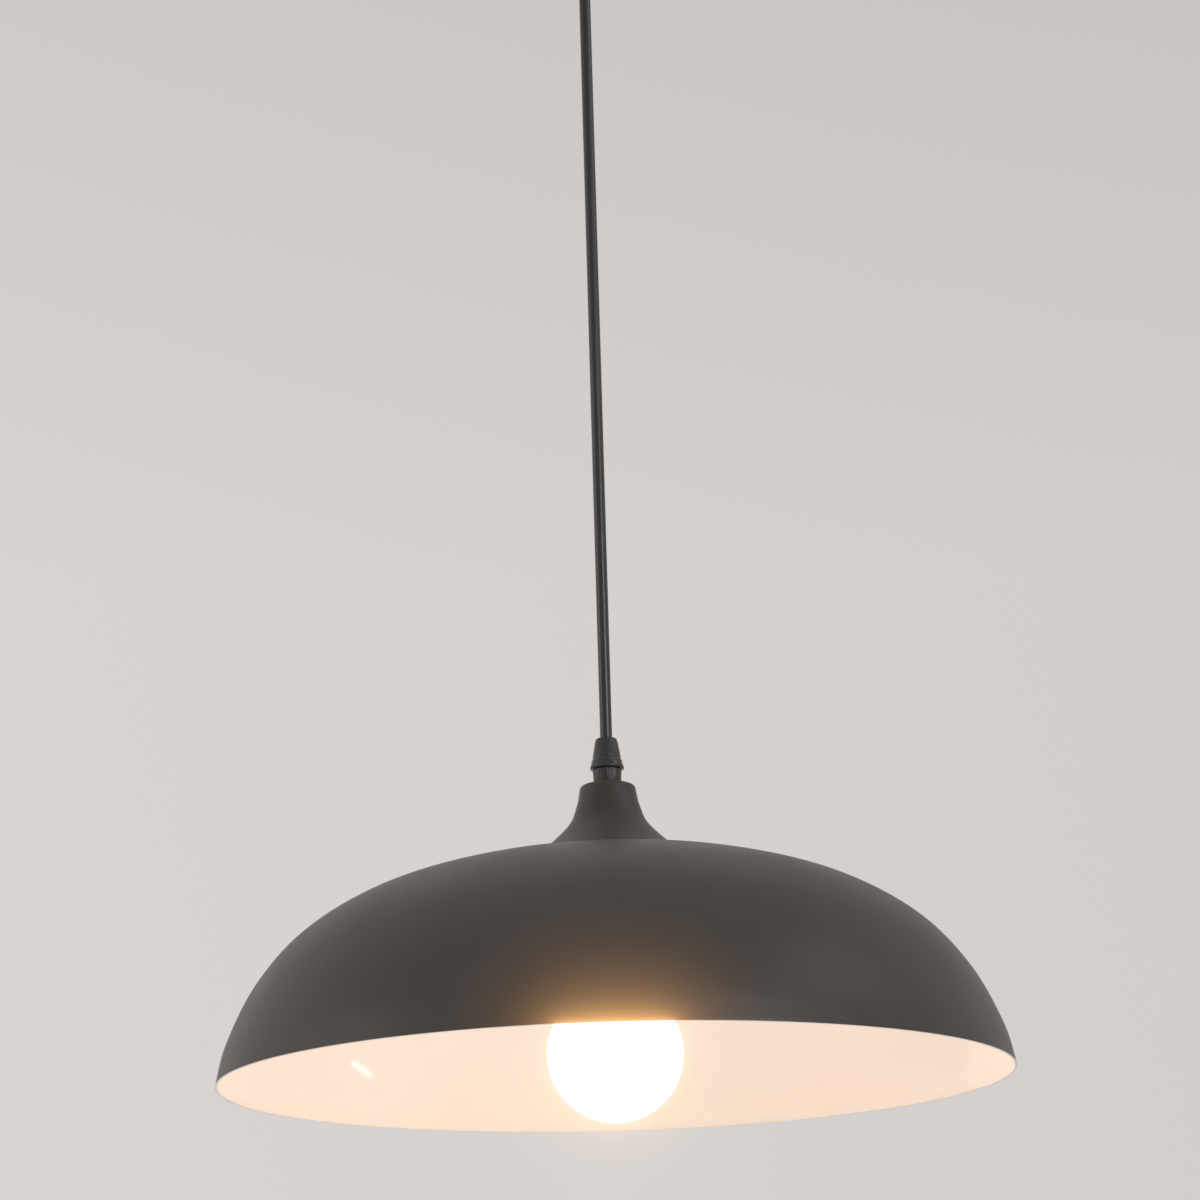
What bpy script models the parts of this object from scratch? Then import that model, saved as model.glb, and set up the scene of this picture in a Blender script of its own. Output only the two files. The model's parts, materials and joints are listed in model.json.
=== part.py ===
"""Pendant ceiling light: a spun metal dome shade hung on one round cord, with its lamp holder and bulb
inside and a ceiling canopy on top. Each piece is its own object.

Metres, +Z up. The origin is on the ceiling, at the middle of the bracket's flat top, and everything
hangs below it on the Z axis. Dimensions are in millimetres; MM turns them into metres."""
import math

import bpy
import bmesh
from mathutils import Vector

MM = 0.001
GAP = 0.3                       # between pieces that touch

# Heights on the lamp's axis; the ceiling is at 0
RIM = -590.0                    # lower edge of the shade
NECK_HEIGHT = 135.4             # from the rim to the flat top of the neck
NECK_TOP = RIM + NECK_HEIGHT

# Shade: (radius, height above the rim) from the rim up the dome, then up the trumpet neck
SHADE_WALL = 1.0
DOME = [(175.0, 0.0), (170.7, 17.2), (158.9, 41.6), (140.0, 63.6), (112.5, 80.9), (79.7, 92.0),
        (50.0, 97.0)]
NECK = [(34.0, 101.6), (25.2, 108.6), (17.4, 117.0), (14.0, 125.5), (12.6, 131.5), (11.0, 134.3),
        (8.4, 135.3)]

# Cord: it bends over a free stretch at each end, one stretch for each direction of bending
CORD_RADIUS = 2.75
BEND_STRETCH = 15.0
BEND_SPACING = 18.0             # between the two bends at one end
CORD_STEP = 12.5                # between the points of a straight cord
CORE_RADIUS = 0.8               # three insulated cores inside the cord
CORE_OUT = 1.15                 # of each core from the cord's middle
CORE_SIDE = CORE_OUT * math.cos(math.radians(30))
CORE_BACK = CORE_OUT * math.sin(math.radians(30))

# Cord grip: a collar screwed on the threaded tube, and a conical clamping nut on the collar
COLLAR_HEIGHT = 5.8
COLLAR_BORE_DEPTH = 5.0         # of the wide bore that takes the threaded tube
CLAMP_NUT_HEIGHT = 14.7
GRIP_HEIGHT = GAP + COLLAR_HEIGHT + GAP + CLAMP_NUT_HEIGHT
CORD_BORE = CORD_RADIUS + GAP

# M10 threaded tube, its nuts and washers
TUBE_RADIUS = 4.8
TUBE_BORE = 3.4
TUBE_SHORT = 0.4                # the tube stops this far from the end of the collar's bore
THREAD_HOLE = TUBE_RADIUS + GAP
NUT_FLATS = 13.0
NUT_HEIGHT = 4.0
WASHER_THICKNESS = 1.2
CANOPY_WASHER_RADIUS = 9.0
NECK_WASHER_RADIUS = 7.4

# Canopy and ceiling bracket
CANOPY_RADIUS = 50.0
CANOPY_HEIGHT = 25.0
CANOPY_WALL = 1.0
CANOPY_CORNER = 5.0
BRACKET_HALF_LENGTH = 47.0
BRACKET_WIDTH = 20.0
BRACKET_THICKNESS = 2.0
BRACKET_DROP = 16.0             # of its turned-down ends
TONGUE_REACH = 32.0
SLOT_AT = 28.0
SLOT_LENGTH = 14.0
SLOT_WIDTH = 5.0
SIDE_SCREW_DROP = 10.0
SCREW_RADIUS = 2.0
EARTH_SCREW_AT = -16.0

# Terminal block under the bracket's tongue: two poles that run along Y
POLE_AT = 5.0
BLOCK_HALF_WIDTH = 10.5
BLOCK_START = 13.0
BLOCK_LENGTH = 18.0
BLOCK_HEIGHT = 13.0
BLOCK_SCREW_RADIUS = 1.4
POLE_DROP = 8.0
POLE_RADIUS = 2.6
POLE_BORE = 1.7
CLAMP_SCREW_RADIUS = 1.3
CLAMP_SCREWS_AT = [17.5, 26.5]

# Lamp holder and bulb: heights above the rim
CAP_TOP = 113.5
CAP_ROOF = 107.5
CAP_EDGE = 90.0
BARREL_EDGE = 62.0
CORE_BOTTOM = 94.3
CORE_TOP = 99.3
TUBE_END = 105.6
SHEATH_END = 106.6
POST_AT = 8.0
POST_RADIUS = 2.4
LOCK_SCREW_DROP = 1.9           # below the cap's top
EARTH_TAG_AT = 106.1
EARTH_TAG_THICKNESS = 0.6
CORES_START = 106.3
CORES_LEVEL = 104.4
BULB_TIP = 92.0
BULB_CAP_EDGE = 65.6
GLOBE_RADIUS = 30.0
GLOBE_CENTRE = 13.0
GLOBE_OPENS_AT = 30.0           # degrees above the globe's middle
GLOBE_WALL = 1.2

# Where the cord bends, from the top down
GRIP_MOUTH_TOP = -CANOPY_HEIGHT - GRIP_HEIGHT
GRIP_MOUTH_BOTTOM = NECK_TOP + GRIP_HEIGHT
SWING_SIDE_AT = GRIP_MOUTH_TOP - BEND_STRETCH / 2
SWING_FRONT_AT = SWING_SIDE_AT - BEND_SPACING
TILT_SIDE_AT = GRIP_MOUTH_BOTTOM + BEND_STRETCH / 2
TILT_FRONT_AT = TILT_SIDE_AT + BEND_SPACING

# Finishes: colour, roughness, metallic
CHARCOAL_COAT = ((0.09, 0.082, 0.077), 0.55, 0.0)
BLACK_NYLON = ((0.045, 0.044, 0.043), 0.5, 0.0)
BLACK_PVC = ((0.035, 0.034, 0.035), 0.35, 0.0)
ZINC_STEEL = ((0.6, 0.6, 0.58), 0.35, 1.0)
BRASS = ((0.7, 0.55, 0.28), 0.3, 1.0)
NICKEL = ((0.72, 0.7, 0.66), 0.25, 1.0)
WHITE_PLASTIC = ((0.85, 0.84, 0.82), 0.4, 0.0)
BLACK_BAKELITE = ((0.03, 0.03, 0.03), 0.3, 0.0)
OPAL = ((0.95, 0.95, 0.93), 0.35, 0.0)
CERAMIC = ((0.8, 0.78, 0.74), 0.45, 0.0)
BOARD = ((0.85, 0.86, 0.85), 0.5, 0.0)
LIVE_CORE = ((0.2, 0.09, 0.04), 0.4, 0.0)
NEUTRAL_CORE = ((0.05, 0.18, 0.55), 0.4, 0.0)
EARTH_CORE = ((0.25, 0.5, 0.08), 0.4, 0.0)


def material(name, finish):
    """A Principled material for one piece."""
    colour, roughness, metallic = finish
    made = bpy.data.materials.new(name)
    made.use_nodes = True
    shader = made.node_tree.nodes["Principled BSDF"]
    shader.inputs["Base Color"].default_value = (*colour, 1.0)
    shader.inputs["Roughness"].default_value = roughness
    shader.inputs["Metallic"].default_value = metallic
    made.diffuse_color = (*colour, 1.0)
    return made


def height_of(pivot):
    """The height on the lamp's axis of a pivot, or of the ceiling for no pivot."""
    height = 0.0
    while pivot:
        height += pivot.location.z / MM
        pivot = pivot.parent
    return height


def pivot(name, parent, height):
    """An empty on the lamp's axis, which carries the pieces that move with one joint."""
    empty = bpy.data.objects.new(name, None)
    bpy.context.collection.objects.link(empty)
    empty.location.z = (height - height_of(parent)) * MM
    empty.parent = parent
    return empty


def place(data, name, carrier, at, turn=(0, 0, 0)):
    """Put a mesh or curve in the scene at a point in millimetres, turned by angles in degrees."""
    piece = bpy.data.objects.new(name, data)
    bpy.context.collection.objects.link(piece)
    x, y, z = at
    piece.location = Vector((x, y, z - height_of(carrier))) * MM
    piece.rotation_euler = [math.radians(angle) for angle in turn]
    piece.parent = carrier
    return piece


def add(mesh, name, finish, carrier=None, at=(0, 0, 0), turn=(0, 0, 0)):
    """Add one piece of the lamp from a mesh, with its material and its shading."""
    mesh.materials.append(material(name, finish))
    mesh.shade_smooth()
    mesh.set_sharp_from_angle(angle=math.radians(35))
    return place(mesh, name, carrier, at, turn)


def add_cutter(mesh, name, at=(0, 0, 0), turn=(0, 0, 0)):
    """A shape that only cuts or joins others."""
    tool = place(mesh, name, None, at, turn)
    tool.hide_render = True
    tool.display_type = "WIRE"
    return tool


def combine(piece, tool, operation="DIFFERENCE"):
    modifier = piece.modifiers.new(tool.name, "BOOLEAN")
    modifier.operation = operation
    modifier.object = tool


def finished_mesh(shape, name):
    """A mesh from a bmesh built in millimetres, its faces pointing out."""
    bmesh.ops.recalc_face_normals(shape, faces=shape.faces)
    bmesh.ops.scale(shape, vec=(MM, MM, MM), verts=shape.verts)
    mesh = bpy.data.meshes.new(name)
    shape.to_mesh(mesh)
    shape.free()
    return mesh


def turned(name, outline, segments=24):
    """A solid turned about Z from an outline of (radius, height) points. An outline that starts and ends
    on the axis is a solid piece; any other is a ring, and its last point joins its first."""
    shape = bmesh.new()
    points = [shape.verts.new((radius, 0, height)) for radius, height in outline]
    closing = [] if outline[0][0] == 0 and outline[-1][0] == 0 else points[:1]
    edges = [shape.edges.new(pair) for pair in zip(points, points[1:] + closing)]
    bmesh.ops.spin(shape, geom=points + edges, cent=(0, 0, 0), axis=(0, 0, 1), angle=2 * math.pi,
                   steps=segments, use_merge=True)
    bmesh.ops.remove_doubles(shape, verts=shape.verts, dist=0.001)
    return finished_mesh(shape, name)


def rod(name, radius, length, segments=12):
    """A round bar from 0 to its length along Z."""
    return turned(name, [(0, 0), (radius, 0), (radius, length), (0, length)], segments)


def ring(name, inner, outer, height, segments=20):
    """A flat ring from 0 to its height."""
    return turned(name, [(inner, 0), (outer, 0), (outer, height), (inner, height)], segments)


def prism(name, outline, depth, upright=False):
    """An outline of (x, y) points extruded from 0 to its depth along Z. Upright, the points are (x, z)
    and the prism lies centred on Y."""
    shape = bmesh.new()
    if upright:
        corners = [shape.verts.new((x, -depth / 2, z)) for x, z in outline]
    else:
        corners = [shape.verts.new((x, y, 0)) for x, y in outline]
    face = shape.faces.new(corners)
    grown = bmesh.ops.extrude_face_region(shape, geom=[face])["geom"]
    step = (0, depth, 0) if upright else (0, 0, depth)
    bmesh.ops.translate(shape, vec=step, verts=[v for v in grown if isinstance(v, bmesh.types.BMVert)])
    return finished_mesh(shape, name)


def box_outline(half_width, start, end):
    return [(-half_width, start), (half_width, start), (half_width, end), (-half_width, end)]


def arc(centre, radius, start, end, steps):
    """Points on an arc, its angles in degrees."""
    angles = [math.radians(start + (end - start) * step / steps) for step in range(steps + 1)]
    return [(centre[0] + radius * math.cos(a), centre[1] + radius * math.sin(a)) for a in angles]


def through(points, per_span):
    """A smooth curve through the given points, with per_span steps between each two of them."""
    knots = [Vector(point) for point in points]
    knots = [2 * knots[0] - knots[1]] + knots + [2 * knots[-1] - knots[-2]]
    curve = []
    for a, b, c, d in zip(knots, knots[1:], knots[2:], knots[3:]):
        for step in range(per_span):
            t = step / per_span
            curve.append(b + t / 2 * (c - a + t * (2 * a - 5 * b + 4 * c - d + t * (3 * b - a - 3 * c + d))))
    return curve + [knots[-2]]


def offset(curve, distance):
    """The same curve moved to the left of its direction by the distance."""
    moved = []
    for before, point, after in zip(curve[:1] + curve, curve, curve[1:] + curve[-1:]):
        run = (after - before).normalized()
        moved.append(point + distance * Vector((-run.y, run.x)))
    return moved


def add_cable(name, route, radius, finish, carrier, at_height, rounded=False):
    """A round cable along a route of points, its own origin on the axis at at_height. A rounded cable
    starts with a half-round end."""
    curve = bpy.data.curves.new(name, "CURVE")
    curve.dimensions = "3D"
    curve.bevel_depth = radius * MM
    curve.bevel_resolution = 2
    curve.use_fill_caps = True
    points = [(Vector(point), 1.0) for point in route]
    if rounded:
        start, run = points[0][0], (points[1][0] - points[0][0]).normalized()
        tip = start - run * radius
        dome = [(share, math.sqrt(1 - (1 - share) ** 2)) for share in (0.06, 0.3, 0.6)]
        points = [(tip + run * radius * share, width) for share, width in dome] + points
    spline = curve.splines.new("POLY")
    spline.points.add(len(points) - 1)
    for target, (point, width) in zip(spline.points, points):
        target.co = (*((point - Vector((0, 0, at_height))) * MM), 1.0)
        target.radius = width
    curve.materials.append(material(name, finish))
    return place(curve, name, carrier, (0, 0, at_height))


def straight_route(top, bottom):
    """Points down the lamp's axis, about CORD_STEP apart."""
    steps = max(2, round((top - bottom) / CORD_STEP))
    return [(0, 0, top + (bottom - top) * step / steps) for step in range(steps + 1)]


def collar_mesh():
    """Cord grip collar: a short ribbed disc that carries a split clamping sleeve."""
    return turned("collar", [
        (TUBE_RADIUS + 0.4, 0), (6.2, 0), (6.55, COLLAR_HEIGHT), (5.0, COLLAR_HEIGHT), (5.0, 13.5),
        (3.6, 17.5), (CORD_BORE, 17.5), (CORD_BORE, COLLAR_BORE_DEPTH),
        (TUBE_RADIUS + 0.4, COLLAR_BORE_DEPTH)], 20)


def clamp_nut_mesh():
    """Cord grip nut: a cone with a flared skirt, hollow over the collar's sleeve."""
    return turned("clamp_nut", [
        (5.4, 0), (6.9, 0), (7.5, 0.6), (7.55, 1.4), (6.95, 3.0), (6.7, 3.9), (6.5, 4.6), (5.9, 8.4),
        (5.15, 13.9), (4.6, CLAMP_NUT_HEIGHT), (CORD_BORE, CLAMP_NUT_HEIGHT), (CORD_BORE, 11.8),
        (4.0, 11.7), (5.4, 7.6)], 20)


def add_lock_nut(name, carrier, bottom):
    """An M10 hexagon nut."""
    corner = NUT_FLATS / math.sqrt(3)
    hexagon = arc((0, 0), corner, 0, 300, 5)
    nut = add(prism(name, hexagon, NUT_HEIGHT), name, ZINC_STEEL, carrier, (0, 0, bottom))
    bore = add_cutter(rod(name + "_bore", THREAD_HOLE, NUT_HEIGHT + 2), name + "_bore", (0, 0, bottom - 1))
    combine(nut, bore)


def add_screw(name, radius, length, head_radius, at, turn, carrier=None, finish=ZINC_STEEL):
    """A domed-head screw, its head's underside at its origin and its shaft along its -Z."""
    outline = [(0, -length), (radius, -length), (radius, 0), (head_radius, 0), (head_radius, 1.2),
               (head_radius * 0.7, 2.2), (0, 2.5)]
    return add(turned(name, outline, 12), name, finish, carrier, at, turn)


def add_canopy_and_bracket():
    """Ceiling bracket, the cup over it, and the side screws through both."""
    half, thick, drop = BRACKET_HALF_LENGTH, BRACKET_THICKNESS, BRACKET_DROP
    side = [(-half, 0), (half, 0), (half, -drop), (half - thick, -drop), (half - thick, -thick),
            (-half + thick, -thick), (-half + thick, -drop), (-half, -drop)]
    bracket = add(prism("ceiling_bracket", side, BRACKET_WIDTH, upright=True), "ceiling_bracket", ZINC_STEEL)
    tongue_outline = box_outline(10.0, BRACKET_WIDTH / 2 - 1, TONGUE_REACH)
    tongue = add_cutter(prism("tongue", tongue_outline, thick), "tongue", (0, 0, -thick))
    combine(bracket, tongue, "UNION")

    rim_top = -0.5
    corner = (CANOPY_RADIUS - CANOPY_CORNER, -CANOPY_HEIGHT + CANOPY_CORNER)
    outer = [(CANOPY_RADIUS, rim_top)] + arc(corner, CANOPY_CORNER, 0, -90, 4)
    inner = arc(corner, CANOPY_CORNER - CANOPY_WALL, -90, 0, 4) + [(CANOPY_RADIUS - CANOPY_WALL, rim_top)]
    hole = [(THREAD_HOLE, -CANOPY_HEIGHT), (THREAD_HOLE, -CANOPY_HEIGHT + CANOPY_WALL)]
    canopy = add(turned("canopy", outer + hole + inner, 36), "canopy", CHARCOAL_COAT)

    slot_straight = (SLOT_LENGTH - SLOT_WIDTH) / 2
    stadium = (arc((slot_straight, 0), SLOT_WIDTH / 2, -90, 90, 8)
               + arc((-slot_straight, 0), SLOT_WIDTH / 2, 90, 270, 8))
    for side_name, sign in (("left", -1), ("right", 1)):
        slot = add_cutter(prism("slot_" + side_name, stadium, 2 * thick), "slot_" + side_name,
                          (sign * SLOT_AT, 0, -1.5 * thick))
        combine(bracket, slot)
        outside = CANOPY_RADIUS + GAP
        name = "canopy_screw_" + side_name
        add_screw(name, SCREW_RADIUS, 7.0, 3.5, (sign * outside, 0, -SIDE_SCREW_DROP), (0, sign * 90, 0))
    side_bore = add_cutter(rod("side_bore", SCREW_RADIUS + GAP, 2 * CANOPY_RADIUS + 10), "side_bore",
                           (-CANOPY_RADIUS - 5, 0, -SIDE_SCREW_DROP), (0, 90, 0))
    earth_bore = add_cutter(rod("earth_bore", SCREW_RADIUS + GAP, 2 * thick), "earth_bore",
                            (EARTH_SCREW_AT, 0, -1.5 * thick))
    block_bore = add_cutter(rod("block_bore", BLOCK_SCREW_RADIUS + GAP, 30), "block_bore",
                            (0, BLOCK_START + BLOCK_LENGTH / 2, -25))
    combine(canopy, side_bore)
    for tool in (side_bore, earth_bore, block_bore):
        combine(bracket, tool)
    add_screw("earth_screw", SCREW_RADIUS, 1.5, 3.5, (EARTH_SCREW_AT, 0, -thick - GAP), (180, 0, 0))
    return block_bore


def add_terminal_block(block_bore):
    """Two-pole terminal block: a plastic body, a brass tube in each pole, and its clamping screws."""
    top = -BRACKET_THICKNESS - GAP
    outline = box_outline(BLOCK_HALF_WIDTH, BLOCK_START, BLOCK_START + BLOCK_LENGTH)
    block = add(prism("terminal_block", outline, BLOCK_HEIGHT), "terminal_block", WHITE_PLASTIC,
                at=(0, 0, top - BLOCK_HEIGHT))
    combine(block, block_bore)
    add_screw("terminal_block_screw", BLOCK_SCREW_RADIUS, 14.0, 2.6,
              (0, BLOCK_START + BLOCK_LENGTH / 2, top - BLOCK_HEIGHT - GAP), (180, 0, 0))
    tube_length = BLOCK_LENGTH - 2
    for pole, sign in (("live", -1), ("neutral", 1)):
        x = sign * POLE_AT
        bore = add_cutter(rod("pole_bore_" + pole, POLE_RADIUS + GAP, BLOCK_LENGTH + 4), "pole_bore_" + pole,
                          (x, BLOCK_START - 2, -POLE_DROP), (-90, 0, 0))
        combine(block, bore)
        name = "terminal_tube_" + pole
        tube = add(ring(name, POLE_BORE, POLE_RADIUS, tube_length, 16), name, BRASS,
                   at=(x, BLOCK_START + 1, -POLE_DROP), turn=(-90, 0, 0))
        for number, y in enumerate(CLAMP_SCREWS_AT, start=1):
            screw_name = f"terminal_screw_{pole}_{number}"
            hole = add_cutter(rod(screw_name + "_bore", CLAMP_SCREW_RADIUS + GAP, 8),
                              screw_name + "_bore", (x, y, -POLE_DROP - 8))
            combine(block, hole)
            combine(tube, hole)
            add(rod(screw_name, CLAMP_SCREW_RADIUS, 5.2), screw_name, ZINC_STEEL, at=(x, y, -14.4))


def add_canopy_fixings(nut_pivot):
    """Threaded tube, washer, nut and cord grip in the canopy's floor."""
    floor = -CANOPY_HEIGHT + CANOPY_WALL
    below = -CANOPY_HEIGHT - GAP
    tube_bottom = below - COLLAR_BORE_DEPTH + TUBE_SHORT
    tube_length = 16.0
    add(ring("canopy_nipple", TUBE_BORE, TUBE_RADIUS, tube_length), "canopy_nipple", ZINC_STEEL,
        at=(0, 0, tube_bottom))
    add(ring("canopy_washer", THREAD_HOLE, CANOPY_WASHER_RADIUS, WASHER_THICKNESS), "canopy_washer",
        ZINC_STEEL, at=(0, 0, floor + GAP))
    add_lock_nut("canopy_lock_nut", None, floor + GAP + WASHER_THICKNESS + GAP)
    add(collar_mesh(), "canopy_grip_collar", BLACK_NYLON, at=(0, 0, below), turn=(180, 0, 0))
    add(clamp_nut_mesh(), "canopy_grip_nut", BLACK_NYLON, nut_pivot, (0, 0, below - COLLAR_HEIGHT - GAP),
        (180, 0, 0))


def add_canopy_wires():
    """The cord's three cores, from the end of its sheath to the terminals."""
    start, above = -9.5, -6.5
    for pole, sign, finish in (("live", -1, LIVE_CORE), ("neutral", 1, NEUTRAL_CORE)):
        route = [(sign * CORE_SIDE, CORE_BACK, start), (sign * 1.6, 2, above), (sign * 3.5, 7, -6),
                 (sign * POLE_AT, 11, -7.6), (sign * POLE_AT, 15.5, -POLE_DROP)]
        add_cable("canopy_wire_" + pole, through(route, 2), CORE_RADIUS, finish, None, start)
    route = [(0, -CORE_OUT, start), (-1.5, -3, above), (-5, -4, -4.6), (-8.5, -2.2, -3.8),
             (-11.3, -0.6, -3.6)]
    add_cable("canopy_wire_earth", through(route, 2), CORE_RADIUS, EARTH_CORE, None, start)


def add_cord(side_pivot, front_pivot, tilt_front_pivot, head_pivot):
    """The cord, in a rigid length between bends. Each length starts with a half-round end centred on its
    own bend, a gap below the flat end of the length above it."""
    flat = CORD_RADIUS + GAP
    top_end = straight_route(SWING_SIDE_AT + flat, -10.0)
    add_cable("canopy_cord_end", top_end, CORD_RADIUS, BLACK_PVC, None, SWING_SIDE_AT)
    lengths = [("cord_bend", side_pivot, SWING_SIDE_AT, SWING_FRONT_AT + flat),
               ("cord", front_pivot, SWING_FRONT_AT, TILT_FRONT_AT + flat),
               ("cord_foot", tilt_front_pivot, TILT_FRONT_AT, TILT_SIDE_AT + flat),
               ("head_cord_end", head_pivot, TILT_SIDE_AT, RIM + SHEATH_END)]
    for name, carrier, top, bottom in lengths:
        add_cable(name, straight_route(top, bottom), CORD_RADIUS, BLACK_PVC, carrier, top, rounded=True)


def add_shade(head):
    """One spun shell: the dome, the trumpet neck and the flat top with its hole."""
    outer = through(DOME, 2) + through(NECK, 1) + [Vector((THREAD_HOLE, NECK_HEIGHT))]
    inner = offset(outer, SHADE_WALL)
    inner[0].y = 0
    inner[-1] = Vector((THREAD_HOLE, NECK_HEIGHT - SHADE_WALL))
    add(turned("shade", outer + inner[::-1], 48), "shade", CHARCOAL_COAT, head, (0, 0, RIM))


def add_neck_fixings(head, nut_pivot):
    """Cord grip on the neck, and the threaded tube, washer and nut that clamp the shade."""
    tube_top = NECK_TOP + GAP + COLLAR_BORE_DEPTH - TUBE_SHORT
    add(ring("nipple", TUBE_BORE, TUBE_RADIUS, tube_top - RIM - TUBE_END), "nipple", ZINC_STEEL, head,
        (0, 0, RIM + TUBE_END))
    washer_bottom = NECK_TOP - SHADE_WALL - GAP - WASHER_THICKNESS
    add(ring("neck_washer", THREAD_HOLE, NECK_WASHER_RADIUS, WASHER_THICKNESS), "neck_washer", ZINC_STEEL,
        head, (0, 0, washer_bottom))
    add_lock_nut("neck_nut", head, washer_bottom - GAP - NUT_HEIGHT)
    add(collar_mesh(), "head_grip_collar", BLACK_NYLON, head, (0, 0, NECK_TOP + GAP))
    add(clamp_nut_mesh(), "head_grip_nut", BLACK_NYLON, nut_pivot,
        (0, 0, NECK_TOP + GAP + COLLAR_HEIGHT + GAP))


def add_lamp_holder(head):
    """E27 lamp holder: cap on the threaded tube, barrel, insulating core, contacts and terminals."""
    at_rim = (0, 0, RIM)
    cap = add(turned("holder_cap", [
        (THREAD_HOLE, CAP_TOP), (8.0, CAP_TOP), (8.0, 109.8), (12.5, 108.8), (16.5, 105.6), (18.6, 101.0),
        (19.0, 96.0), (19.0, CAP_EDGE), (17.6, CAP_EDGE), (17.6, 99.0), (15.6, 103.6), (12.0, 106.9),
        (THREAD_HOLE, CAP_ROOF)]), "holder_cap", BLACK_BAKELITE, head, at_rim)
    lock_height = RIM + CAP_TOP - LOCK_SCREW_DROP
    lock_bore = add_cutter(rod("lock_bore", CLAMP_SCREW_RADIUS + GAP, 8), "lock_bore",
                           (4, 0, lock_height), (0, 90, 0))
    combine(cap, lock_bore)
    add(rod("holder_lock_screw", CLAMP_SCREW_RADIUS, 3.2), "holder_lock_screw", ZINC_STEEL, head,
        (5.2, 0, lock_height), (0, 90, 0))
    add(turned("holder_barrel", [
        (15.4, BARREL_EDGE), (17.8, BARREL_EDGE), (18.4, 63.5), (19.0, 67.0), (19.0, CAP_EDGE - GAP),
        (15.4, CAP_EDGE - GAP)]), "holder_barrel", BLACK_BAKELITE, head, at_rim)
    add(ring("holder_core", 2.0, 16.8, CORE_TOP - CORE_BOTTOM), "holder_core", CERAMIC, head,
        (0, 0, RIM + CORE_BOTTOM))
    shell_top = CORE_BOTTOM - 0.4
    add(turned("screw_shell", [
        (13.8, 66.0), (14.7, 66.0), (14.7, shell_top), (11.0, shell_top), (11.0, shell_top - 0.8),
        (13.8, shell_top - 0.8)]), "screw_shell", BRASS, head, at_rim)
    lower = [(-9, 93.5), (-5, 93.4), (-2, 92.5), (2, 92.5), (5, 93.4), (9, 93.5)]
    upper = [(x, z + 0.5) for x, z in lower[::-1]]
    add(prism("centre_contact", lower + upper, 6.0, upright=True), "centre_contact", BRASS, head, at_rim)
    tag_at = (0, 0, RIM + EARTH_TAG_AT)
    tag = add(ring("earth_tag", THREAD_HOLE, 8.0, EARTH_TAG_THICKNESS), "earth_tag", BRASS, head, tag_at)
    tab = add_cutter(prism("tag_tab", box_outline(2.0, 7.0, 10.4), EARTH_TAG_THICKNESS), "tag_tab", tag_at)
    combine(tag, tab, "UNION")

    post_bottom, post_height = CORE_TOP + GAP, 3.6
    for pole, sign, finish in (("live", 1, LIVE_CORE), ("neutral", -1, NEUTRAL_CORE)):
        add(rod("terminal_post_" + pole, POST_RADIUS, post_height), "terminal_post_" + pole, BRASS, head,
            (sign * POST_AT, 0, RIM + post_bottom))
        add(rod("post_screw_" + pole, CLAMP_SCREW_RADIUS, 3.0), "post_screw_" + pole, ZINC_STEEL, head,
            (sign * (POST_AT + POST_RADIUS + GAP), 0, RIM + post_bottom + post_height / 2),
            (0, sign * 90, 0))
        route = [(sign * CORE_SIDE, -CORE_BACK, CORES_START), (sign * 1.8, -0.5, CORES_LEVEL + 0.5),
                 (sign * 3.6, 0, CORES_LEVEL), (sign * (POST_AT + 0.2), 0, CORES_LEVEL)]
        add_core("wire_" + pole, route, finish, head)
    route = [(0, CORE_OUT, CORES_START), (0, 1.8, CORES_LEVEL + 0.5), (0, 3.6, CORES_LEVEL),
             (0, 7.4, CORES_LEVEL + 0.4)]
    add_core("wire_earth", route, EARTH_CORE, head)


def add_core(name, route, finish, head):
    """A core of the cord inside the lamp holder, its route in heights above the rim."""
    lifted = [(x, y, RIM + z) for x, y, z in route]
    add_cable(name, through(lifted, 2), CORE_RADIUS, finish, head, RIM + SHEATH_END)


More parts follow.
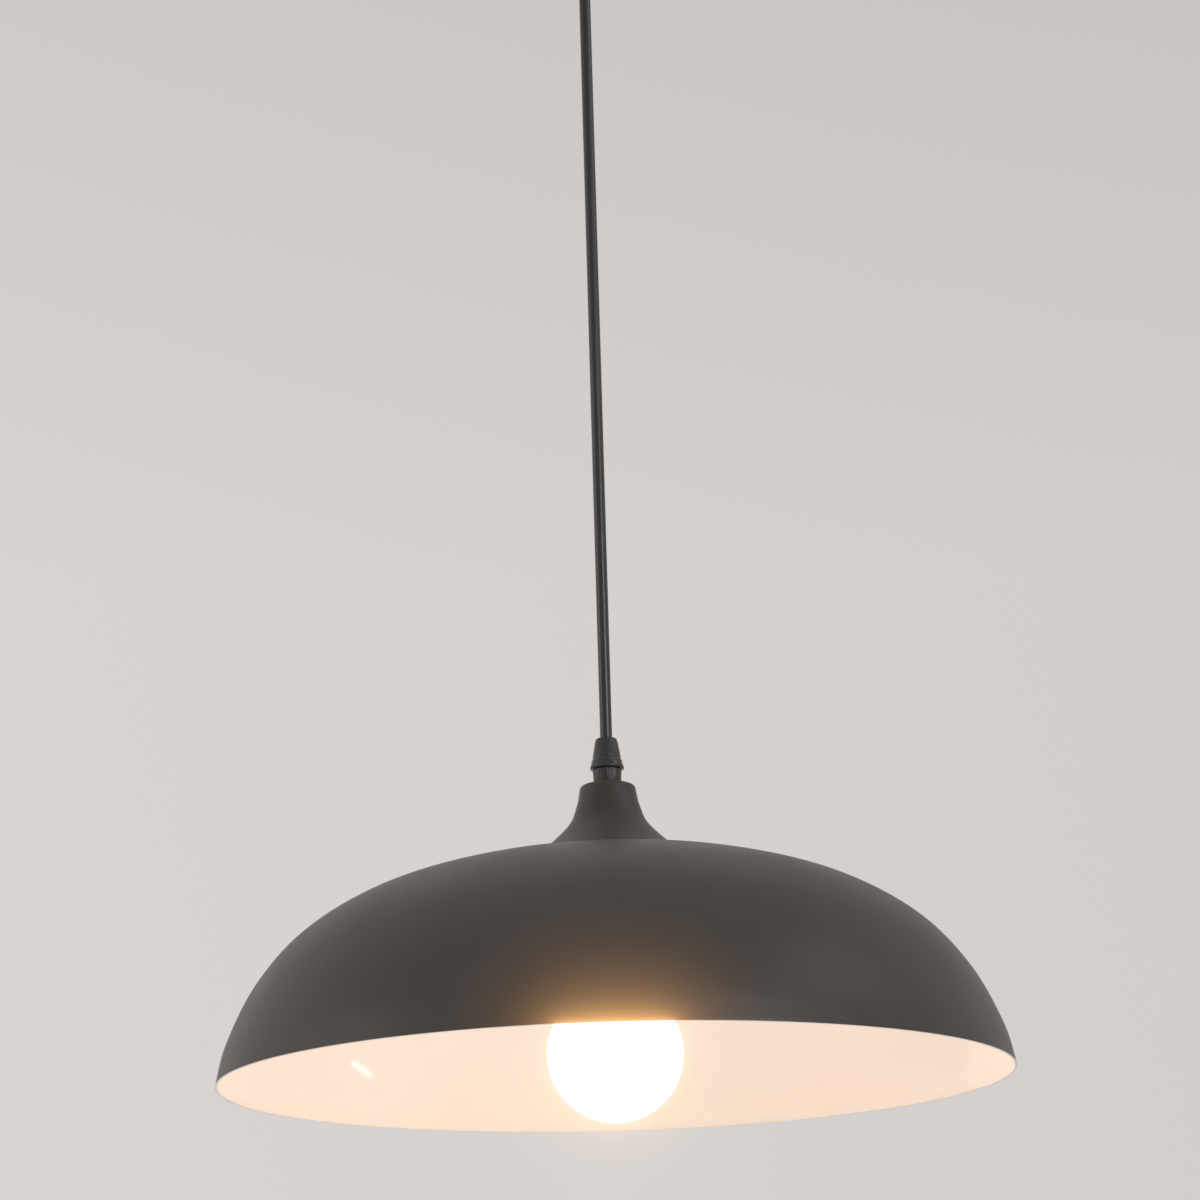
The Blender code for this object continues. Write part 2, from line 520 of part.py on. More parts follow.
def add_bulb(contact_pivot, bulb_pivot):
    """A60 bulb with an E27 cap: contact, insulator, cap, body, opal globe and its boards."""
    at_rim = (0, 0, RIM)
    add(turned("bulb_contact", [(0, 90.9), (4.6, 90.9), (4.6, 91.4), (3.2, BULB_TIP), (0, BULB_TIP)], 16),
        "bulb_contact", NICKEL, contact_pivot, at_rim)
    add(turned("bulb_insulator", [(0, 88.1), (11.4, 88.1), (11.0, 88.9), (5.6, 90.6), (0, 90.6)], 20),
        "bulb_insulator", BLACK_BAKELITE, bulb_pivot, at_rim)
    add(turned("bulb_cap", [
        (12.4, BULB_CAP_EDGE), (13.2, BULB_CAP_EDGE), (13.2, 84.5), (12.2, 87.2), (11.2, 87.8), (10.4, 87.8),
        (10.4, 87.0), (11.4, 86.5), (12.4, 84.2)]), "bulb_cap", NICKEL, bulb_pivot, at_rim)
    join = math.radians(GLOBE_OPENS_AT)
    join_radius = GLOBE_RADIUS * math.cos(join)
    join_height = GLOBE_CENTRE + GLOBE_RADIUS * math.sin(join)
    body = [Vector(point) for point in (
        (join_radius, join_height + GAP), (23.2, 33.0), (19.6, 39.5), (16.6, 47.0), (14.8, 55.0),
        (14.2, 61.0), (14.1, BULB_CAP_EDGE - GAP))]
    lining = offset(body, 1.5)
    lining[0].y = body[0].y
    lining[-1].y = body[-1].y
    add(turned("bulb_body", body + lining[::-1]), "bulb_body", WHITE_PLASTIC, bulb_pivot, at_rim)
    centre = (0, GLOBE_CENTRE)
    skin = arc(centre, GLOBE_RADIUS, -90, GLOBE_OPENS_AT, 10)
    lining = arc(centre, GLOBE_RADIUS - GLOBE_WALL, GLOBE_OPENS_AT, -90, 10)
    skin[0] = (0, GLOBE_CENTRE - GLOBE_RADIUS)
    lining[-1] = (0, GLOBE_CENTRE - GLOBE_RADIUS + GLOBE_WALL)
    add(turned("bulb_globe", skin + lining), "bulb_globe", OPAL, bulb_pivot, at_rim)
    add(ring("led_board", 3.0, 20.0, 1.6), "led_board", BOARD, bulb_pivot, (0, 0, RIM + 32.2))
    add(prism("driver_board", box_outline(9.0, 37.0, 61.0), 1.6, upright=True), "driver_board", BOARD,
        bulb_pivot, at_rim)


def build_lamp():
    for leftover in list(bpy.data.objects):
        bpy.data.objects.remove(leftover)

    canopy_nut_turn = pivot("canopy_nut_turn", None, GRIP_MOUTH_TOP)
    swing_side = pivot("swing_side", None, SWING_SIDE_AT)
    swing_front = pivot("swing_front", swing_side, SWING_FRONT_AT)
    tilt_front = pivot("tilt_front", swing_front, TILT_FRONT_AT)
    head = pivot("tilt_side", tilt_front, TILT_SIDE_AT)
    head_nut_turn = pivot("head_nut_turn", head, GRIP_MOUTH_BOTTOM)
    bulb_travel = pivot("bulb_travel", head, RIM + BULB_TIP)
    bulb_turn = pivot("bulb_turn", bulb_travel, RIM + BULB_CAP_EDGE)

    block_bore = add_canopy_and_bracket()
    add_terminal_block(block_bore)
    add_canopy_fixings(canopy_nut_turn)
    add_canopy_wires()
    add_cord(swing_side, swing_front, tilt_front, head)
    add_shade(head)
    add_neck_fixings(head, head_nut_turn)
    add_lamp_holder(head)
    add_bulb(bulb_travel, bulb_turn)


build_lamp()
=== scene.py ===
import json
import math

import bmesh
import bpy
from mathutils import Matrix, Vector


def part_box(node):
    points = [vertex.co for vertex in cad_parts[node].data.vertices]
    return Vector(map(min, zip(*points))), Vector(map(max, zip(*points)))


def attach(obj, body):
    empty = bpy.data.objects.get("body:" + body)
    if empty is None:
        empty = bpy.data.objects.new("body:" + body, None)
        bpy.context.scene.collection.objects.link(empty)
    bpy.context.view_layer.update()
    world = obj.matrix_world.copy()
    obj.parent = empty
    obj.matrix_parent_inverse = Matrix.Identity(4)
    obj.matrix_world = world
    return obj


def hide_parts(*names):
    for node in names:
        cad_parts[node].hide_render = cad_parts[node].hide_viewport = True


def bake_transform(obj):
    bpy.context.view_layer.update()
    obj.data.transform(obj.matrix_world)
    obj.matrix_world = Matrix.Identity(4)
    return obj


# Pendant ceiling light: the looks of each piece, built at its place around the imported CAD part.
# Metres, +Z up, with the ceiling at 0 and the lamp's axis on Z. Outlines are (radius, height) points in
# millimetres, from the level that each piece is built at, and MM turns them into metres.

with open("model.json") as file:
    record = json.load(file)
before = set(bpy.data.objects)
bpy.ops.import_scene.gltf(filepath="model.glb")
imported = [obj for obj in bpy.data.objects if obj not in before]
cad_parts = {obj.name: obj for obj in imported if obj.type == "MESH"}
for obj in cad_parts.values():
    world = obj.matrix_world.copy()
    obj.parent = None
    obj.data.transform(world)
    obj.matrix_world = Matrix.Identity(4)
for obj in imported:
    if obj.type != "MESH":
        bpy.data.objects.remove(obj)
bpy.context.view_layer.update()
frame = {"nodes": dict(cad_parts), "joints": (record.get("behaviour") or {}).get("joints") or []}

MM = 0.001
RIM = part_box("shade")[0].z                     # lower edge of the shade
NECK_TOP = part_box("shade")[1].z
CANOPY_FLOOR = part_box("canopy")[0].z
CORD_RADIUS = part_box("cord")[1].x
PIVOT = {joint["name"]: joint["pos_m"][2] for joint in frame["joints"] if "pos_m" in joint}


def link(data, name):
    piece = bpy.data.objects.new(name, data)
    bpy.context.scene.collection.objects.link(piece)
    return piece


# Camera: in front of the lamp and below its shade, looking up

CAMERA_LENS = 87.5
CAMERA_PLACE = (-0.001, -1.288, -0.7633)
CAMERA_TILT = math.radians(90 + 17.08)  # from straight down
CAMERA_ROLL = math.radians(-1.65)


def add_camera():
    camera = link(bpy.data.cameras.new("camera"), "camera")
    camera.data.lens = CAMERA_LENS
    camera.location = CAMERA_PLACE
    turn = Matrix.Rotation(CAMERA_TILT, 3, "X") @ Matrix.Rotation(CAMERA_ROLL, 3, "Z")
    camera.rotation_euler = turn.to_euler()
    bpy.context.scene.camera = camera


# Shapes

SEGMENTS = 96                   # round a turned piece
SEGMENTS_PER_RIB = 6
SHARP_CORNER = math.radians(32)
WELD_DISTANCE = 1e-7            # metres, for points that meet on the axis


def lathe(name, outline, material, level=0.0, segments=SEGMENTS, ribs=0, flip=False):
    """A closed piece turned about the lamp's axis. An outline that starts and ends on the axis is a solid
    piece; any other is a ring, and its last point joins its first. A point may have a third number, the
    depth in millimetres to which ribs are raised there. Flip turns the outline upside down."""
    segments = max(segments, ribs * SEGMENTS_PER_RIB)
    shape = bmesh.new()
    rings = []
    for radius, height, *depth in outline:
        depth = depth[0] if depth else 0.0
        z = level - height * MM if flip else level + height * MM
        circle = []
        for step in range(segments):
            angle = 2 * math.pi * step / segments
            out = (radius + depth * 0.5 * (1 + math.cos(ribs * angle))) * MM
            circle.append(shape.verts.new((out * math.cos(angle), out * math.sin(angle), z)))
        rings.append(circle)
    solid = outline[0][0] == 0 and outline[-1][0] == 0
    for lower, upper in zip(rings, rings[1:] + ([] if solid else rings[:1])):
        for step in range(segments):
            after = (step + 1) % segments
            shape.faces.new((lower[step], lower[after], upper[after], upper[step]))
    bmesh.ops.remove_doubles(shape, verts=shape.verts, dist=WELD_DISTANCE)
    return finished(shape, name, material)


def finished(shape, name, material):
    """An object from a bmesh in metres, shaded smooth apart from its sharp corners."""
    bmesh.ops.recalc_face_normals(shape, faces=shape.faces)
    mesh = bpy.data.meshes.new(name)
    shape.to_mesh(mesh)
    shape.free()
    mesh.materials.append(material)
    mesh.shade_smooth()
    mesh.set_sharp_from_angle(angle=SHARP_CORNER)
    return link(mesh, name)


def smooth(points, per_span):
    """A smooth curve through the given points, with per_span steps between each two of them."""
    knots = [Vector(point) for point in points]
    knots = [2 * knots[0] - knots[1]] + knots + [2 * knots[-1] - knots[-2]]
    curve = []
    for a, b, c, d in zip(knots, knots[1:], knots[2:], knots[3:]):
        for step in range(per_span):
            t = step / per_span
            curve.append(b + t / 2 * (c - a + t * (2 * a - 5 * b + 4 * c - d + t * (3 * b - a - 3 * c + d))))
    return curve + [knots[-2]]


def offset(curve, distance):
    """The same curve moved to the left of its direction by the distance."""
    moved = []
    for before, point, after in zip(curve[:1] + curve, curve, curve[1:] + curve[-1:]):
        run = (after - before).normalized()
        moved.append(point + distance * Vector((-run.y, run.x)))
    return moved


def arc(centre, radius, start, end, steps):
    """Points on an arc, its angles in degrees."""
    angles = [math.radians(start + (end - start) * step / steps) for step in range(steps + 1)]
    return [(centre[0] + radius * math.cos(a), centre[1] + radius * math.sin(a)) for a in angles]


# Finishes

CLOUD_SIZE = 30.0               # of the tones' clouds, in millimetres
CLOUD_DETAIL = 3.0
RELIEF_DETAIL = 2.0
CLOUD_RANGE = (0.3, 0.7)        # of the noise, from the dark tone to the light one


def ramp(nodes, links, source, stops):
    """Colours along a value, from (value, colour) stops."""
    stops = list(stops)
    made = nodes.new("ShaderNodeValToRGB")
    elements = made.color_ramp.elements
    while len(elements) < len(stops):
        elements.new(0.5)
    for element, (position, colour) in zip(elements, stops):
        element.position, element.color = position, (*colour, 1)
    links.new(source, made.inputs["Fac"])
    return made.outputs["Color"]


def spread(nodes, links, source, start, end, low, high):
    """A value that goes from low to high, or down to it, while its source goes from start to end."""
    made = nodes.new("ShaderNodeMapRange")
    for socket, value in zip(("From Min", "From Max", "To Min", "To Max"), (start, end, low, high)):
        made.inputs[socket].default_value = value
    links.new(source, made.inputs["Value"])
    return made.outputs["Result"]


def surface(name, dark, light, roughness, grain=1.0, relief=0.0, metallic=0.0, **fixed):
    """A finish of two tones in soft clouds, with a roughness that wanders a little between two values and
    a fine relief. Grain is the size of the relief's features and relief its height, in millimetres.
    Anything else is a value for the shader's socket of that name."""
    made = bpy.data.materials.new(name)
    made.use_nodes = True
    nodes, links = made.node_tree.nodes, made.node_tree.links
    shader = nodes["Principled BSDF"]
    place = nodes.new("ShaderNodeTexCoord").outputs["Object"]

    def noise(size, detail):
        texture = nodes.new("ShaderNodeTexNoise")
        texture.inputs["Scale"].default_value = 1 / (size * MM)
        texture.inputs["Detail"].default_value = detail
        links.new(place, texture.inputs["Vector"])
        return texture.outputs["Fac"]

    clouds = noise(CLOUD_SIZE, CLOUD_DETAIL)
    tones = ramp(nodes, links, clouds, zip(CLOUD_RANGE, (dark, light)))
    links.new(tones, shader.inputs["Base Color"])
    links.new(spread(nodes, links, clouds, *CLOUD_RANGE, *roughness), shader.inputs["Roughness"])

    if relief:
        bump = nodes.new("ShaderNodeBump")
        bump.inputs["Distance"].default_value = relief * MM
        links.new(noise(grain, RELIEF_DETAIL), bump.inputs["Height"])
        links.new(bump.outputs["Normal"], shader.inputs["Normal"])
    shader.inputs["Metallic"].default_value = metallic
    for socket, value in fixed.items():
        shader.inputs[socket.replace("_", " ")].default_value = value
    return made


FINISHES = {
    "charcoal_coat": surface("charcoal_powder_coat", (0.062, 0.056, 0.053), (0.070, 0.063, 0.060),
                             (0.40, 0.46), grain=0.8, relief=0.02),
    "black_nylon": surface("black_nylon", (0.058, 0.055, 0.053), (0.068, 0.065, 0.063), (0.23, 0.29),
                           grain=0.4, relief=0.01),
    "black_pvc": surface("black_pvc", (0.033, 0.032, 0.033), (0.041, 0.040, 0.041), (0.28, 0.34),
                         Specular_IOR_Level=0.75),
    "zinc_steel": surface("zinc_plated_steel", (0.52, 0.52, 0.5), (0.64, 0.64, 0.62), (0.28, 0.42),
                          grain=0.5, relief=0.01, metallic=1.0),
    "brass": surface("brass", (0.64, 0.49, 0.22), (0.74, 0.58, 0.3), (0.24, 0.36), grain=0.5, relief=0.01,
                     metallic=1.0),
    "nickel": surface("nickel", (0.66, 0.64, 0.6), (0.74, 0.72, 0.68), (0.18, 0.28), grain=0.5,
                      relief=0.005, metallic=1.0),
    "white_plastic": surface("white_plastic", (0.8, 0.79, 0.77), (0.86, 0.85, 0.83), (0.32, 0.42),
                             grain=0.6, relief=0.01),
    "black_bakelite": surface("black_bakelite", (0.024, 0.023, 0.023), (0.034, 0.032, 0.031), (0.2, 0.3),
                              grain=1.0, relief=0.01),
    "ceramic": surface("ceramic", (0.74, 0.72, 0.67), (0.82, 0.8, 0.76), (0.35, 0.5), grain=0.5,
                       relief=0.02),
    "white_board": surface("white_board", (0.8, 0.82, 0.81), (0.87, 0.88, 0.87), (0.4, 0.5), grain=0.5,
                           relief=0.01),
    "brown_core": surface("brown_core", (0.17, 0.075, 0.033), (0.22, 0.1, 0.045), (0.35, 0.45)),
    "blue_core": surface("blue_core", (0.04, 0.16, 0.5), (0.06, 0.2, 0.58), (0.35, 0.45)),
    "green_core": surface("green_yellow_core", (0.2, 0.45, 0.06), (0.3, 0.55, 0.1), (0.35, 0.45)),
    "opal": surface("opal_diffuser", (0.92, 0.92, 0.9), (0.96, 0.96, 0.94), (0.3, 0.4)),
}
LINING_WHITE = surface("white_lining", (0.826, 0.806, 0.776), (0.834, 0.814, 0.784), (0.34, 0.38),
                       grain=1.2, relief=0.005, Coat_Weight=0.5, Coat_Roughness=0.075)
GLOWING_OPAL = surface("glowing_opal", (0.92, 0.92, 0.9), (0.96, 0.96, 0.94), (0.3, 0.4),
                       Emission_Color=(1.0, 0.95, 0.88, 1), Emission_Strength=2.6)


def wear(piece, body, slot, *nodes):
    """Put a piece on a CAD body in place of CAD nodes, which it hides. The slot is not used. A piece that is
    given no body stays where it was built."""
    if body:
        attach(piece, body)
    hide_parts(*nodes)
    return piece


# Cord: it hangs taut down the lamp's axis, with a free stretch at each end of its length, one stretch for
# each direction. Each piece is built straight over one stretch, and meets the next between two of them.

BEND_STRETCH = 15.0 * MM
CORD_SIDES = 32
CORD_STEP = 1.0 * MM            # between two rings
SHEATH_TOP = -10.0 * MM         # below the ceiling, inside the canopy
SHEATH_END = RIM + 106.6 * MM   # inside the lamp holder


def cord_piece(name, top, bottom):
    """A straight length of the cord with closely spaced rings, and the points down its middle."""
    count = round((top - bottom) / CORD_STEP)
    path = [(0, 0, top + (bottom - top) * index / count) for index in range(count + 1)]
    radius = CORD_RADIUS / MM
    side = [(radius, z / MM) for _, _, z in path]
    outline = [(0, top / MM)] + side + [(0, bottom / MM)]
    piece = lathe(name, outline, FINISHES["black_pvc"], segments=CORD_SIDES)
    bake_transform(piece)
    return piece, path


def add_cord():
    side, front = PIVOT["swing_side"], PIVOT["swing_front"]
    tilt_front, tilt_side = PIVOT["tilt_front"], PIVOT["tilt_side"]
    upper_meet = (side + front) / 2
    main_start = front - BEND_STRETCH / 2
    lower_meet = (tilt_front + tilt_side) / 2
    root, _ = cord_piece("cord_root", SHEATH_TOP, upper_meet)
    upper, _ = cord_piece("cord_upper", upper_meet, main_start)
    main, path = cord_piece("cord_main", main_start, lower_meet)
    foot, _ = cord_piece("cord_tail", lower_meet, SHEATH_END)
    wear(root, None, "black_pvc", "canopy_cord_end")
    wear(upper, None, "black_pvc", "cord_bend")
    wear(main, None, "black_pvc", "cord")
    wear(foot, None, "black_pvc", "cord_foot", "head_cord_end")


# Shade: a charcoal shell with a white lining a hair inside it, which wraps round the shell's lower edge

DOME = [(175.0, 0.0), (170.7, 17.2), (158.9, 41.6), (140.0, 63.6), (112.5, 80.9), (79.7, 92.0),
        (50.0, 97.0)]
NECK = [(34.0, 101.6), (25.2, 108.6), (17.4, 117.0), (14.1, 125.5), (12.95, 130.9), (12.6, 132.9),
        (11.5, 134.1), (8.8, 134.65), (5.1, 134.75)]
DOME_STEPS = 8                  # between two points of the outline
NECK_STEPS = 5
SHELL_WALL = 0.5
SHELL_START = 0.25              # of the shell's lower edge, above the rim
SHELL_EDGE = (0.14, 0.2 + SHELL_WALL)   # its outer and inner corners, inward from the rim
SHELL_SIDE = (0.13, 0.5)        # the next point of its outside: inward, and above the rim
LINING_WIDTH = 1.05             # from the outside of the shell to the lining's inner face
LINING_HEIGHT = 120.0           # the lining stops inside the neck
LINING_GAP = 0.03               # between the shell and the lining
LIP_HEIGHT = 0.16               # of the white lip's rounding, above the rim
LIP_STEPS = 10
LIP_TOP = 0.1                   # of the lip's outer corner, inward from the rim
SHADE_SEGMENTS = 192


def add_shade():
    outer = smooth(DOME, DOME_STEPS) + smooth(NECK, NECK_STEPS)
    edge = outer[0]

    def near_edge(inward, height):
        return edge + Vector((-inward, height))

    inner = offset(outer, SHELL_WALL)
    inner[-1].x = outer[-1].x
    shell = lathe("shade_shell", [near_edge(SHELL_EDGE[0], SHELL_START), near_edge(*SHELL_SIDE)]
                  + outer[1:] + inner[:0:-1] + [near_edge(SHELL_EDGE[1], SHELL_START)],
                  FINISHES["charcoal_coat"], RIM, SHADE_SEGMENTS)
    wear(shell, "head", "charcoal_coat", "shade")

    covered = [point for point in outer if point.y < LINING_HEIGHT]
    back, face = offset(covered, SHELL_WALL + LINING_GAP), offset(covered, LINING_WIDTH)
    back[0] = near_edge(SHELL_EDGE[1], SHELL_START - LINING_GAP)
    lip = [near_edge(LINING_WIDTH / 2 - x, LIP_HEIGHT + y * LIP_HEIGHT / LINING_WIDTH * 2)
           for x, y in arc((0, 0), LINING_WIDTH / 2, 180, 360, LIP_STEPS)]
    lip.append(near_edge(LIP_TOP, SHELL_START - LINING_GAP))
    lining = lathe("shade_lining", back + face[:0:-1] + lip, LINING_WHITE, RIM, SHADE_SEGMENTS)
    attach(lining, "head")


# Cord grips: a ribbed collar on the threaded tube and a conical clamping nut, one pair on the shade's
# neck and one upside down under the canopy

COLLAR_HEIGHT = 5.8
COLLAR_TOP = COLLAR_HEIGHT + 0.15
GAP = 0.3                       # between neighbouring pieces
CORD_BORE = 3.05                # radius
COLLAR_RIBS = 40
COLLAR_RIB = 0.16               # height of one rib
NUT_RIBS = 30
NUT_RIB = 0.12


def add_grip(place, level, collar_body, nut_body, flip, skirt):
    """The skirt is how far the collar reaches past its level."""
    collar = lathe(place + "_collar_ribbed", [
        (5.2, -skirt), (5.95, -skirt), (6.1, 0.2 - skirt), (6.1, 0.4 - skirt, COLLAR_RIB),
        (6.35, COLLAR_HEIGHT - 0.5, COLLAR_RIB), (6.4, COLLAR_HEIGHT), (6.2, COLLAR_TOP),
        (5.0, COLLAR_TOP), (5.0, 13.5), (3.6, 17.5), (CORD_BORE, 17.5), (CORD_BORE, 5.0), (5.2, 5.0)],
        FINISHES["black_nylon"], level, ribs=COLLAR_RIBS, flip=flip)
    wear(collar, collar_body, "black_nylon", place + "_collar")

    shoulder = [(6.42, 4.7), (6.34, 5.2, NUT_RIB), (5.82, 8.6, NUT_RIB), (5.12, 12.6, NUT_RIB),
                (5.02, 13.3)]
    crown = arc((3.9, 13.35), 1.1, 5, 80, 5) + [(3.4, 14.6), (3.0, 14.7)]
    nut_level = level + (-1 if flip else 1) * (COLLAR_HEIGHT + GAP) * MM
    nut = lathe(place + "_nut_ribbed", [
        (5.4, 0), (7.2, 0), (7.65, 0.2), (7.8, 0.6), (7.75, 1.1), (7.35, 2.0), (7.1, 2.9), (7.0, 3.2),
        (7.02, 3.5), (6.98, 3.9), (6.75, 4.2), (6.55, 4.4)] + shoulder + crown + [
        (CORD_BORE, 14.5), (CORD_BORE, 11.8), (4.0, 11.7), (5.4, 7.6)],
        FINISHES["black_nylon"], nut_level, ribs=NUT_RIBS, flip=flip)
    wear(nut, nut_body, "black_nylon", place + "_nut")


# Ceiling canopy

CANOPY_RADIUS = 50.0
CANOPY_WALL = 1.0
CANOPY_CORNER = 5.0
CANOPY_RIM = 24.5
CANOPY_BEVEL = 0.2              # at the rim
CANOPY_SEGMENTS = 128
CORNER_STEPS = 10
NIPPLE_HOLE = 5.1               # radius


def add_canopy():
    corner = (CANOPY_RADIUS - CANOPY_CORNER, CANOPY_CORNER)
    inside, below_rim = CANOPY_RADIUS - CANOPY_WALL, CANOPY_RIM - CANOPY_BEVEL
    outline = arc(corner, CANOPY_CORNER, -90, 0, CORNER_STEPS)
    outline += [(CANOPY_RADIUS, below_rim), (CANOPY_RADIUS - CANOPY_BEVEL, CANOPY_RIM),
                (inside + CANOPY_BEVEL, CANOPY_RIM), (inside, below_rim)]
    outline += arc(corner, CANOPY_CORNER - CANOPY_WALL, 0, -90, CORNER_STEPS)
    outline += [(NIPPLE_HOLE, CANOPY_WALL), (NIPPLE_HOLE, 0)]
    cup = lathe("canopy_cup", outline, FINISHES["charcoal_coat"], CANOPY_FLOOR, CANOPY_SEGMENTS)
    wear(cup, "ceiling_mount", "charcoal_coat", "canopy")


# Bulb and lamp holder

GLOBE_CENTRE = 13.0
GLOBE_RADIUS = 30.0
GLOBE_WALL = 1.2
GLOBE_OPENS_AT = 30.0           # degrees above the globe's middle
GLOBE_STEPS = 32
BODY_WALL = 1.5
BODY_STEPS = 5
BULB_POWER = 0.7                # watts of light
BULB_COLOUR = (1.0, 0.605, 0.375)


def add_bulb():
    centre = (0, GLOBE_CENTRE)
    skin = arc(centre, GLOBE_RADIUS, -90, GLOBE_OPENS_AT, GLOBE_STEPS)
    lining = arc(centre, GLOBE_RADIUS - GLOBE_WALL, GLOBE_OPENS_AT, -90, GLOBE_STEPS)
    skin[0], lining[-1] = (0, skin[0][1]), (0, lining[-1][1])
    globe = lathe("globe_opal", skin + lining, GLOWING_OPAL, RIM)
    globe.visible_shadow = False
    wear(globe, "bulb", "opal", "bulb_globe")

    light = bpy.data.lights.new("bulb_light", "POINT")
    light.energy, light.color = BULB_POWER, BULB_COLOUR
    light.shadow_soft_size = GLOBE_RADIUS * MM
    lamp = link(light, "bulb_light")
    lamp.location = (0, 0, RIM + GLOBE_CENTRE * MM)
    lamp.visible_camera = lamp.visible_glossy = False
    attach(lamp, "bulb")

    join = math.radians(GLOBE_OPENS_AT)
    flare = [(GLOBE_RADIUS * math.cos(join), GLOBE_CENTRE + GLOBE_RADIUS * math.sin(join) + GAP),
             (23.2, 33.0), (19.6, 39.5), (16.6, 47.0), (14.8, 55.0), (14.2, 61.0), (14.1, 65.3)]
    outside = smooth(flare, BODY_STEPS)
    inside = offset(outside, BODY_WALL)
    inside[0].y, inside[-1].y = outside[0].y, outside[-1].y
    body = lathe("bulb_body_smooth", outside + inside[::-1], FINISHES["white_plastic"], RIM)
    wear(body, "bulb", "white_plastic", "bulb_body")


CAP_STEPS = 6
RIDGES = 6
RIDGES_START = 64.0
RIDGE_PITCH = 2.2


def add_lamp_holder():
    cap = [(8.0, 113.2), (8.0, 110.3), (8.4, 109.9)] + smooth(
        [(9.5, 109.7), (12.5, 108.8), (16.5, 105.6), (18.6, 101.0), (19.0, 96.0)], CAP_STEPS)
    cap += [(19.0, 90.2), (18.8, 90.0), (17.6, 90.0), (17.6, 99.0), (15.6, 103.6), (12.0, 106.9),
            (NIPPLE_HOLE, 107.5), (NIPPLE_HOLE, 113.5), (7.7, 113.5)]
    wear(lathe("holder_cap_smooth", cap, FINISHES["black_bakelite"], RIM), "head", "black_bakelite",
         "holder_cap")

    barrel = [(15.4, 62.2), (15.6, 62.0), (17.5, 62.0), (17.9, 62.4)]
    for ridge in range(RIDGES):
        height = RIDGES_START + RIDGE_PITCH * ridge
        barrel += [(18.5, height), (18.5, height + 1.2), (18.1, height + 1.4), (18.1, height + 2.0)]
    barrel += [(18.6, 77.4), (19.0, 78.0), (19.0, 89.4), (18.8, 89.7), (15.4, 89.7)]
    wear(lathe("holder_barrel_ridged", barrel, FINISHES["black_bakelite"], RIM), "head",
         "black_bakelite", "holder_barrel")


def finish_cad_nodes():
    """Every CAD node gets the finish of its own slot. Those that a piece replaces don't show."""
    for node in frame["nodes"].values():
        slot = node.material_slots[0].material.name
        node.material_slots[0].material = FINISHES[slot]


# Room: a plain pale floor, a pale surround and soft studio light

FLOOR_HEIGHT = -2.6             # below the ceiling
FLOOR_RADIUS = 12.0
WALL_TONES = [(0.0, (0.685, 0.652, 0.636)), (0.3, (0.672, 0.643, 0.624)), (0.5, (0.60, 0.57, 0.55)),
              (0.9, (0.54, 0.52, 0.50))]    # from the horizon at 0 to overhead at 1
# Strength of the surround: from where, to where, and the strength at each
SHOWN_ACROSS = (-0.3, 0.3, 1.035, 0.94)     # as seen, from left to right
LIT_ACROSS = (-0.2, 0.9, 1.05, 0.7)         # as light on the lamp, from left to right
LIT_IN_DEPTH = (-0.9, 0.3, 0.35, 1.0)       # as light on the lamp, from front to back
MIDDLE = (0, 0, RIM / 2)
# Name, place, aim, size and watts
LIGHTS = [("left_light", (-2.7, -0.7, 0.2), MIDDLE, (1.2, 1.2), 6.0),
          ("right_light", (1.8, -2.3, 0.1), MIDDLE, (1.0, 1.0), 17.0),
          ("high_light", (1.9, -0.5, 1.1), MIDDLE, (0.8, 0.8), 3.2),
          ("far_window", (1.66, 0.27, -1.455), (-0.122, 0.113, -0.564), (0.3, 0.03), 0.5),
          ("floor_light", (0, 0, -1.7), (0, 0, FLOOR_HEIGHT), (24.0, 24.0), 560.0)]


def add_surround():
    """A pale wall colour all round, which lights the lamp least from the front and the right."""
    world = bpy.data.worlds.new("pale_room")
    world.use_nodes = True
    nodes, links = world.node_tree.nodes, world.node_tree.links
    way = nodes.new("ShaderNodeSeparateXYZ")
    links.new(nodes.new("ShaderNodeTexCoord").outputs["Generated"], way.inputs["Vector"])
    wall = ramp(nodes, links, way.outputs["Z"], WALL_TONES)

    shown = nodes.new("ShaderNodeBackground")
    links.new(wall, shown.inputs["Color"])
    links.new(spread(nodes, links, way.outputs["X"], *SHOWN_ACROSS), shown.inputs["Strength"])
    lit = nodes["Background"]
    links.new(wall, lit.inputs["Color"])
    product = nodes.new("ShaderNodeMath")
    product.operation = "MULTIPLY"
    links.new(spread(nodes, links, way.outputs["Y"], *LIT_IN_DEPTH), product.inputs[0])
    links.new(spread(nodes, links, way.outputs["X"], *LIT_ACROSS), product.inputs[1])
    links.new(product.outputs["Value"], lit.inputs["Strength"])
    both = nodes.new("ShaderNodeMixShader")
    links.new(nodes.new("ShaderNodeLightPath").outputs["Is Camera Ray"], both.inputs["Fac"])
    links.new(lit.outputs["Background"], both.inputs[1])
    links.new(shown.outputs["Background"], both.inputs[2])
    links.new(both.outputs["Shader"], nodes["World Output"].inputs["Surface"])
    bpy.context.scene.world = world
    bpy.context.scene.view_settings.view_transform = "Standard"


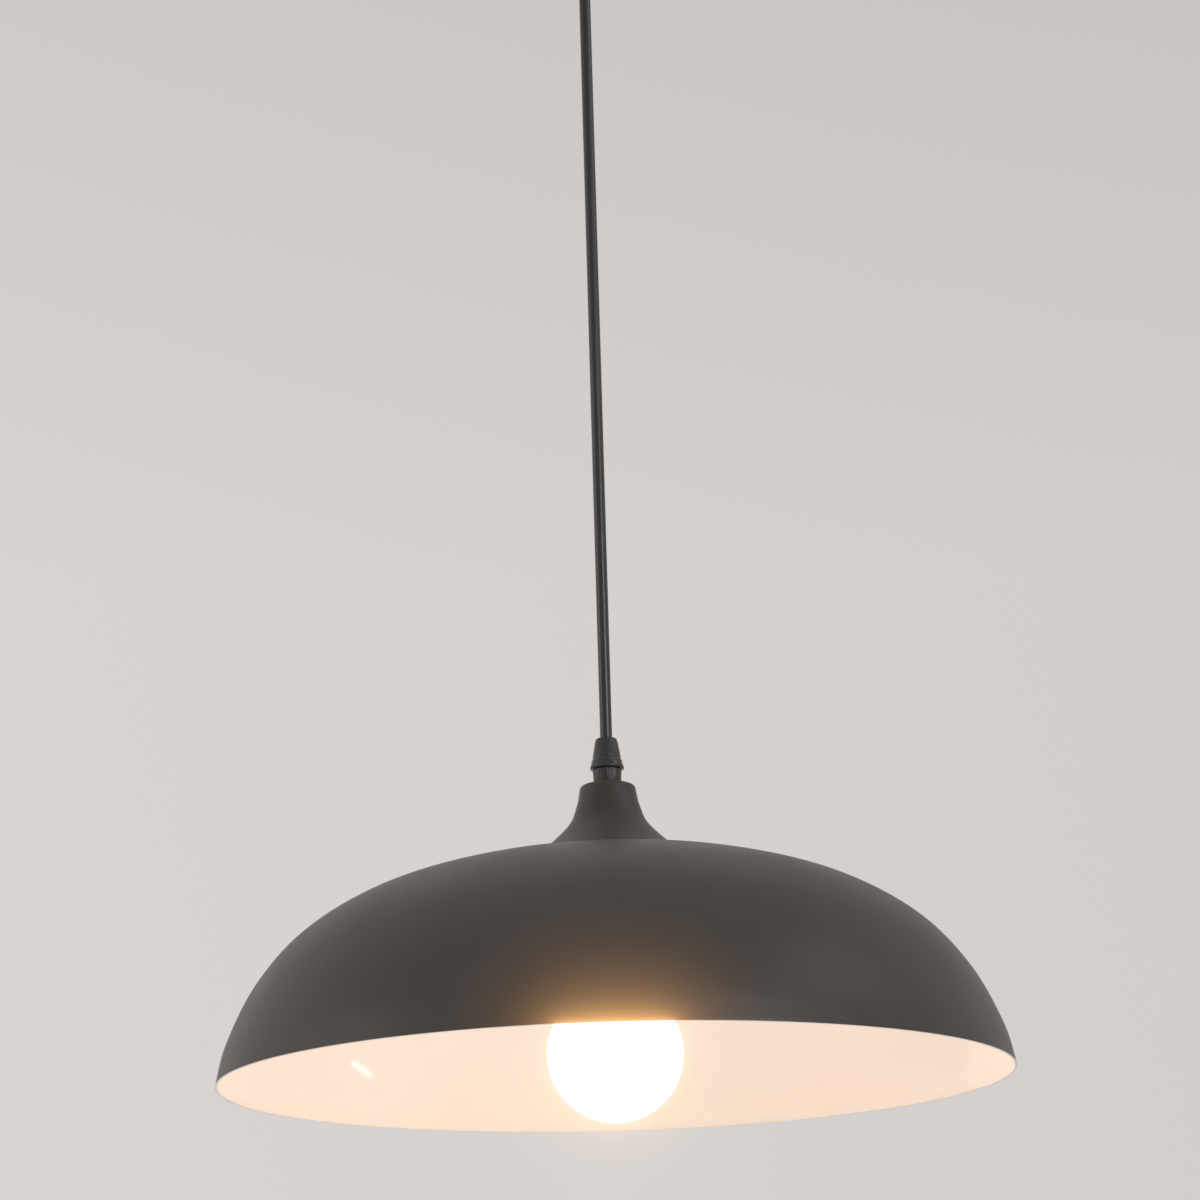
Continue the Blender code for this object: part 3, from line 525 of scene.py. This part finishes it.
def add_room():
    floor = bmesh.new()
    bmesh.ops.create_circle(floor, cap_ends=True, segments=SEGMENTS, radius=FLOOR_RADIUS)
    bmesh.ops.translate(floor, vec=(0, 0, FLOOR_HEIGHT), verts=floor.verts)
    paint = surface("pale_floor", (0.74, 0.725, 0.715), (0.76, 0.745, 0.735), (0.7, 0.8))
    finished(floor, "floor", paint)

    for name, place, target, size, power in LIGHTS:
        light = bpy.data.lights.new(name, "AREA")
        light.shape, light.energy = "RECTANGLE", power
        light.size, light.size_y = size
        lamp = link(light, name)
        lamp.location = place
        lamp.rotation_euler = (Vector(target) - Vector(place)).to_track_quat("-Z", "Y").to_euler()
        lamp.visible_camera = False


BLOOM_COLOUR = (1.68, 0.92, 0.35, 1.0)
BLOOM = (("Threshold", 1.3), ("Strength", 1.1), ("Size", 0.17))


def add_bloom():
    """The soft warm glare that a camera sees round a bare lit bulb."""
    scene = bpy.context.scene
    scene.use_nodes = True
    nodes, links = scene.node_tree.nodes, scene.node_tree.links
    nodes.clear()
    picture = nodes.new("CompositorNodeRLayers")
    glare = nodes.new("CompositorNodeGlare")
    glare.glare_type = "BLOOM"
    glare.quality = "HIGH"
    for socket, value in BLOOM:
        glare.inputs[socket].default_value = value
    links.new(picture.outputs["Image"], glare.inputs["Image"])
    warm = nodes.new("CompositorNodeMixRGB")
    warm.blend_type, warm.use_clamp = "MULTIPLY", True
    links.new(glare.outputs["Glare"], warm.inputs[1])
    warm.inputs[2].default_value = BLOOM_COLOUR
    screened = nodes.new("CompositorNodeMixRGB")
    screened.blend_type = "SCREEN"
    links.new(picture.outputs["Image"], screened.inputs[1])
    links.new(warm.outputs["Image"], screened.inputs[2])
    links.new(screened.outputs["Image"], nodes.new("CompositorNodeComposite").inputs["Image"])


add_camera()
add_cord()
add_shade()
add_grip("head_grip", NECK_TOP + GAP * MM, "head", "head_nut", flip=False, skirt=0.6)
add_grip("canopy_grip", CANOPY_FLOOR - GAP * MM, "ceiling_mount", "canopy_nut", flip=True, skirt=0)
add_canopy()
add_bulb()
add_lamp_holder()
finish_cad_nodes()
add_surround()
add_room()
add_bloom()
